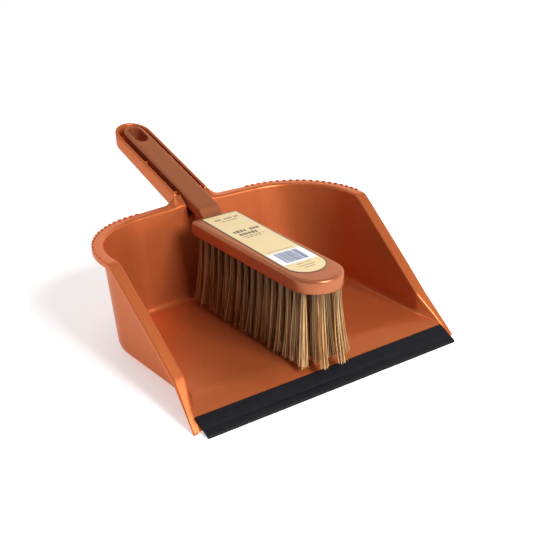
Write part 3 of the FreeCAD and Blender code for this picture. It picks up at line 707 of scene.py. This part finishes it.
# ---------------------------------------------------------------------------------------------
# Brush
# ---------------------------------------------------------------------------------------------
def head_plan(inset):
    """Head outline: half-round front, straight sides and small round corners."""
    half = HEAD_HALF - inset
    nose = HEAD_FRONT + HEAD_HALF
    corner = max(HEAD_CORNER - inset, 0.4)
    right = [(half * math.cos(a), nose + half * math.sin(a)) for a in steps(-math.pi / 2, 0, 24)]
    right += [(half, y) for y in steps(nose, HEAD_BACK - HEAD_CORNER, 16)]
    flat = half - corner
    right += [(flat + corner * math.cos(a), HEAD_BACK - inset - corner + corner * math.sin(a))
              for a in steps(0, math.pi / 2, 8)]
    right += [(flat - flat * t, HEAD_BACK - inset) for t in (0.0, 0.34, 0.67, 1.0)]
    return right + [(-x, y) for x, y in reversed(right[1:-1])]


def stem_plan(inset):
    """Stem outline from inside the head to its half-round end."""
    half = STEM_HALF - inset
    start, level = STEM_START - STEM_SINK, STEM_RISE + 12
    right = [(0, start), (half * 0.5, start), (half, start)]
    right += [(half, y) for y in steps(start + 1, level, 26) + steps(level, STEM_END, 20)]
    right += [(half * math.cos(a), STEM_END + half * math.sin(a)) for a in steps(0, math.pi / 2, 16)]
    right.append((0, STEM_END + half))
    return right + [(-x, y) for x, y in reversed(right[1:-1])]


def stem_top(y):
    """Top of the stem: level inside the head, then a smooth step up to the handle's slope."""
    if y < STEM_START:
        return HEAD_TOP - STEM_SET
    t = smooth((y - STEM_START) / (STEM_RISE - STEM_START))
    return mix(HEAD_TOP - STEM_SET, stem_height(y), t)


def stem_under(y):
    """Underside of the stem: just inside the head, then rising over a short run behind it."""
    ahead, run, cover = 3.0, 20.0, 1.0
    t = smooth((y - HEAD_BACK + ahead) / run)
    return mix(HEAD_TOP - HEAD_THICK + cover, stem_height(y) - STEM_DEPTH, t)


def plan_solid(name, plan, low, high, round_low, round_high):
    """A solid over a symmetric plan outline with rounded lower and upper edges."""
    mesh = bmesh.new()
    levels = [(round_low, s, low, 0.0) for s in (0.0, 0.3, 0.6, 0.85)]
    for i in range(5):
        a = math.pi / 2 * i / 4
        levels.append((round_low * (1 - math.sin(a)), 1.0, low, round_low * (1 - math.cos(a))))
    for i in range(7):
        a = math.pi / 2 * i / 6
        levels.append((round_high * (1 - math.cos(a)), 1.0, high, -round_high * (1 - math.sin(a))))
    levels += [(round_high, s, high, 0.0) for s in (0.85, 0.6, 0.3, 0.0)]
    rings = [[Vector((x * s, y, face(y) + lift)) for x, y in plan(inset)]
             for inset, s, face, lift in levels]
    skin(mesh, rings, loop=True)
    return finish_mesh(mesh, name)


def capsule(name, half, front, back, low, high, sides=16):
    """A solid of stadium plan with its straight part from front to back."""
    outline = []
    for angle in [math.pi * i / sides for i in range(sides + 1)]:
        outline.append((half * math.cos(angle), back + half * math.sin(angle)))
    for angle in [math.pi + math.pi * i / sides for i in range(sides + 1)]:
        outline.append((half * math.cos(angle), front + half * math.sin(angle)))
    return prism(name, outline, low, high)


def label_outline(inset):
    """Plan of the label: half-round front, straight sides and nearly square back corners."""
    half = LABEL_HALF - inset
    outline = [(half * math.cos(a), LABEL_NOSE + half * math.sin(a))
               for a in [math.pi + math.pi * i / 28 for i in range(29)]]
    radius = LABEL_CORNER
    for hand, turns in ((1, range(5)), (-1, range(4, -1, -1))):
        for i in turns:
            angle = math.pi / 2 * i / 4
            outline.append((hand * (half - radius + radius * math.cos(angle)),
                            LABEL_BACK - inset - radius + radius * math.sin(angle)))
    return outline


def make_brush():
    """The brush moulding: block and stem in one, with an eye through the stem's end."""
    body = plan_solid("brush_block", head_plan, lambda y: HEAD_TOP - HEAD_THICK, lambda y: HEAD_TOP,
                      round_low=1.2, round_high=3.5)
    stem = plan_solid("stem", stem_plan, stem_under, stem_top, round_low=3.0, round_high=2.2)
    carve(body, stem, "UNION")
    eye = capsule("eye", EYE_HALF, EYE_FRONT, EYE_BACK, lambda y: stem_height(y) - EYE_REACH,
                  lambda y: stem_height(y) + EYE_REACH)
    carve(body, eye, "DIFFERENCE")
    soften(body, 0.8, angle=50.0, segments=3)
    place(body, BRUSH, BRUSH_PLASTIC, "brush", "brush_plastic")
    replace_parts(body, "brush_body")


def flat_piece(name, mesh, material):
    return place(finish_mesh(mesh, name), LABEL, material, "brush", "label_card")


def printed(mesh, x0, x1, y0, y1, thick=INK_THICK, lift=INK_LIFT):
    """A printed mark: a very thin raised rectangle on the label."""
    base = HEAD_TOP + LABEL_THICK + lift
    low = [Vector((x, y, base)) for x, y in ((x0, y0), (x1, y0), (x1, y1), (x0, y1))]
    high = [p + Vector((0, 0, thick)) for p in low]
    rows = skin(mesh, [low, high], loop=True)
    cap(mesh, rows[0])
    cap(mesh, rows[1])


def word_like(mesh, rng, x0, x1, y, tall, gap):
    """A line of print with no letters in it: uneven dashes as wide as letters and words."""
    x = x0
    while x < x1:
        wide = rng.uniform(*DASH_WIDTH) * tall * DASH_SHARE
        if rng.random() < DASH_CHANCE:
            grow = rng.uniform(*DASH_HEIGHT)
            printed(mesh, x, min(x + wide, x1), y - tall / 2 * grow, y + tall / 2 * grow)
        x += wide + gap * tall * GAP_SHARE


def sheet(name, inset, low, high, material):
    """A layer of the label, between two heights above the brush's top."""
    mesh = bmesh.new()
    rings = [[Vector((x, y, HEAD_TOP + z)) for x, y in label_outline(inset)] for z in (low, high)]
    rows = skin(mesh, rings, loop=True)
    cap(mesh, rows[0])
    cap(mesh, rows[-1])
    return flat_piece(name, mesh, material)


def make_label():
    """The label: dark border, cream face, a white patch with bars, and print without letters."""
    layer = LABEL_THICK - LABEL_LAYER
    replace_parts(sheet("label_border", 0.0, 0.0, layer, LABEL_INK), "label")
    sheet("label_face", LABEL_BORDER, layer, LABEL_THICK, LABEL_CREAM)

    rng = random.Random(5)
    ink = bmesh.new()
    for line in PRINT_BEHIND:
        word_like(ink, rng, *line)
    printed(ink, *PRINT_RULE)
    for line in PRINT_AHEAD:
        word_like(ink, rng, *line)
    flat_piece("label_print", ink, LABEL_INK)

    patch = bmesh.new()
    printed(patch, *PATCH, thick=PATCH_THICK, lift=0.0)
    flat_piece("label_patch", patch, LABEL_WHITE)

    bars = bmesh.new()
    x = BARS_LEFT
    while x < BARS_STOP:
        wide = rng.choice(BAR_WIDTHS)
        printed(bars, x, min(x + wide, BARS_RIGHT), BARS_FRONT, BARS_BACK, PATCH_THICK, BARS_LIFT)
        x += wide + rng.choice(BAR_GAPS)
    flat_piece("label_bars", bars, LABEL_BARS)


def tuft_places():
    """Rows from the handle end forwards: row number to the tuft positions across it."""
    rows = []
    for row in range(ROW_COUNT):
        y = ROW_FIRST - row * ROW_PITCH
        ahead = max(HEAD_FRONT + HEAD_HALF - y, 0.0)
        arc = math.sqrt(max((HEAD_HALF - TUFT_EDGE) ** 2 - ahead ** 2, 0.0))
        reach = max(min(TUFT_REACH, arc), TUFT_SPACE / 2 + 1)
        count = 5 if row % 2 == 0 else 4
        while count > 2 and 2 * reach / (count - 1) < TUFT_SPACE:
            count -= 1
        rows.append([(reach * (2 * index / (count - 1) - 1), y) for index in range(count)])
    return rows


def strand(mesh, layer, path, radius, shade, core_shade, sides=4):
    """One filament along a path, tapering a little towards its tip. Its vertices carry the strand's
    own tone, how far it is out of the painted shade at the root, and the painted shade it takes from
    standing deep among the others."""
    rings = []
    for index, point in enumerate(path):
        t = index / (len(path) - 1)
        thick = radius * (1 - STRAND_TAPER * t)
        rings.append([point + Vector((math.cos(a), math.sin(a), 0)) * thick
                      for a in [2 * math.pi * k / sides for k in range(sides)]])
    rows = skin(mesh, rings, loop=True)
    cap(mesh, rows[0])
    cap(mesh, rows[-1])
    # second channel: painted shade at the root; third channel: painted shade deep among the tufts
    for index, row in enumerate(rows):
        along = index / (len(rows) - 1)
        depth = min(1.0, along * ROOT_SHADE_RATE)
        for vert in row:
            vert[layer] = (shade, depth, core_shade * (CORE_SHADE_ROOT + (1 - CORE_SHADE_ROOT) * along), 1.0)


def strand_path(rng, x, y, forward, turn, twist, spread):
    """The line of one filament from its hole, splaying towards its tip just above the floor."""
    out = ROOT_RADIUS * spread
    root = Vector((x + out * math.cos(turn), y + out * math.sin(turn),
                   HEAD_TOP - HEAD_THICK + ROOT_DEPTH))
    flare = FLARE * spread * rng.uniform(*FLARE_RANGE)
    across = x * FAN_OUT + flare * math.cos(turn + twist) + rng.uniform(-TIP_JITTER, TIP_JITTER)
    along = y + forward + flare * math.sin(turn + twist) + rng.uniform(-TIP_JITTER, TIP_JITTER)
    tip = Vector((across, along, WALL + TIP_CLEAR + abs(rng.gauss(0, TIP_UNEVEN))))
    bend = Vector((rng.uniform(-BEND, BEND), rng.uniform(-BEND, BEND), 0))
    path = []
    for k in range(STRAND_STEPS + 1):
        t = k / STRAND_STEPS
        point = root.lerp(tip, t)
        point += Vector((tip.x - root.x, tip.y - root.y, 0)) * (t ** 2 - t)
        point += bend * math.sin(math.pi * t) * (BEND_START + t)
        path.append(point)
    return path


def make_bristles():
    """Every row of tufts as one piece of separate filaments, and the finish of its staples."""
    rng = random.Random(23)
    last = ROW_COUNT - 1
    for row, places in enumerate(tuft_places()):
        mesh = bmesh.new()
        layer = mesh.verts.layers.float_color.new("strand")
        forward = FRONT_LEAN * max(0, row - last + FRONT_ROWS) / FRONT_ROWS
        forward += REAR_LEAN * max(0, REAR_ROWS - row) / REAR_ROWS
        for x, y in places:
            twist = rng.uniform(-TUFT_TWIST, TUFT_TWIST)
            tuft_shade = rng.uniform(-TUFT_SHADE, TUFT_SHADE)
            # painted shade deep in the brush: strongest on the inner tufts of the rear rows
            inner = smooth((CORE_SHADE_HALF - abs(x)) / CORE_SHADE_FADE)
            core_shade = smooth((last - row) / CORE_SHADE_ROWS) * (CORE_SHADE_BASE + CORE_SHADE_INNER * inner)
            for number in range(STRANDS):
                turn = number * GOLDEN_ANGLE + twist
                spread = math.sqrt((number + 0.5) / STRANDS)
                path = strand_path(rng, x, y, forward, turn, twist, spread)
                shade = min(max(rng.gauss(SHADE_MEAN, SHADE_SPREAD) + tuft_shade, 0.0), 1.0)
                strand(mesh, layer, path, rng.uniform(*STRAND_RADIUS), shade, core_shade)
        name = "filaments_row_%02d" % (row + 1)
        piece = finish_mesh(mesh, name, merge=0.0001)
        place(piece, BRUSH, BRISTLE, "brush", "bristle", sharp=60.0)
        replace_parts(piece, "bristle_row_%02d" % (row + 1))
        staple = frame["nodes"]["staple_row_%02d" % (row + 1)]
        for index in range(len(staple.material_slots)):
            staple.material_slots[index].material = STEEL


# ---------------------------------------------------------------------------------------------
# Stage, light and camera
# ---------------------------------------------------------------------------------------------
def make_stage():
    """A pale paper floor that glows a little, so that it stays white round the object."""
    mesh = bmesh.new()
    bmesh.ops.create_grid(mesh, x_segments=2, y_segments=2, size=FLOOR_SIZE)
    data = bpy.data.meshes.new("floor")
    mesh.to_mesh(data)
    mesh.free()
    floor = bpy.data.objects.new("floor", data)
    bpy.context.scene.collection.objects.link(floor)
    n = Nodes("floor_paper")
    cloud = n.noise(0.8, 2.0)
    n.surface(Base_Color=n.blend(cloud, (0.88, 0.88, 0.88), (0.92, 0.92, 0.92)), Roughness=0.9)
    n.surface(Emission_Color=n.blend(cloud, (0.96, 0.96, 0.96), (1.0, 1.0, 1.0)),
              Emission_Strength=FLOOR_GLOW)
    floor.data.materials.append(n.material)


def area_light(name, spot, size, power):
    data = bpy.data.lights.new(name, "AREA")
    data.shape = "RECTANGLE"
    data.size, data.size_y = size
    data.energy = power
    lamp = bpy.data.objects.new(name, data)
    lamp.location = spot
    lamp.rotation_euler = (Vector(LIGHT_AIM) - Vector(spot)).to_track_quat("-Z", "Y").to_euler()
    bpy.context.scene.collection.objects.link(lamp)


def make_light():
    """A white room, brightest low down behind the pan, a soft box in front and one overhead."""
    world = bpy.data.worlds.new("studio")
    bpy.context.scene.world = world
    world.use_nodes = True
    tree = world.node_tree
    place = tree.nodes.new("ShaderNodeTexCoord").outputs["Generated"]
    split = tree.nodes.new("ShaderNodeSeparateXYZ")
    tree.links.new(place, split.inputs[0])
    side = tree.nodes.new("ShaderNodeVectorMath")
    side.operation = "DOT_PRODUCT"
    side.inputs[1].default_value = ROOM_SIDE
    tree.links.new(place, side.inputs[0])
    level = tree.nodes.new("ShaderNodeMath")
    level.operation = "MULTIPLY"
    for slot, source, spans in ((0, split.outputs["Z"], ROOM_HEIGHT_FADE),
                                (1, side.outputs["Value"], ROOM_SIDE_FADE)):
        fade = tree.nodes.new("ShaderNodeMapRange")
        for name, value in zip(("From Min", "From Max", "To Min", "To Max"), spans):
            fade.inputs[name].default_value = value
        tree.links.new(source, fade.inputs["Value"])
        tree.links.new(fade.outputs[0], level.inputs[slot])
    tree.links.new(level.outputs[0], tree.nodes["Background"].inputs[1])
    tree.nodes["Background"].inputs[0].default_value = (1, 1, 1, 1)
    area_light("key", KEY_SPOT, KEY_SIZE, KEY_POWER)
    area_light("top", TOP_SPOT, TOP_SIZE, TOP_POWER)


def make_camera():
    """The viewing angle is given in the pan's own frame, as angles about its floor's normal."""
    back = Vector((math.sin(AZIMUTH) * math.cos(ELEVATION), -math.cos(AZIMUTH) * math.cos(ELEVATION),
                   math.sin(ELEVATION)))
    right = (-back).cross(Vector((0, 0, 1))).normalized()
    up = right.cross(-back)
    turned_right = right * math.cos(ROLL) + up * math.sin(ROLL)
    turned_up = up * math.cos(ROLL) - right * math.sin(ROLL)
    columns = Matrix((turned_right, turned_up, back)).transposed().to_4x4()
    columns.translation = CAMERA_TARGET + back * CAMERA_DISTANCE
    data = bpy.data.cameras.new("camera")
    data.sensor_width = CAMERA_SENSOR
    data.lens = CAMERA_LENS
    camera = bpy.data.objects.new("camera", data)
    bpy.context.scene.collection.objects.link(camera)
    world = PAN @ columns
    spot, turn, _ = world.decompose()
    camera.matrix_world = Matrix.LocRotScale(spot, turn, None)
    bpy.context.scene.camera = camera


make_camera()
make_stage()
make_light()
make_pan()
make_lip()
make_brush()
make_label()
make_bristles()
bpy.context.scene.view_settings.view_transform = "Standard"
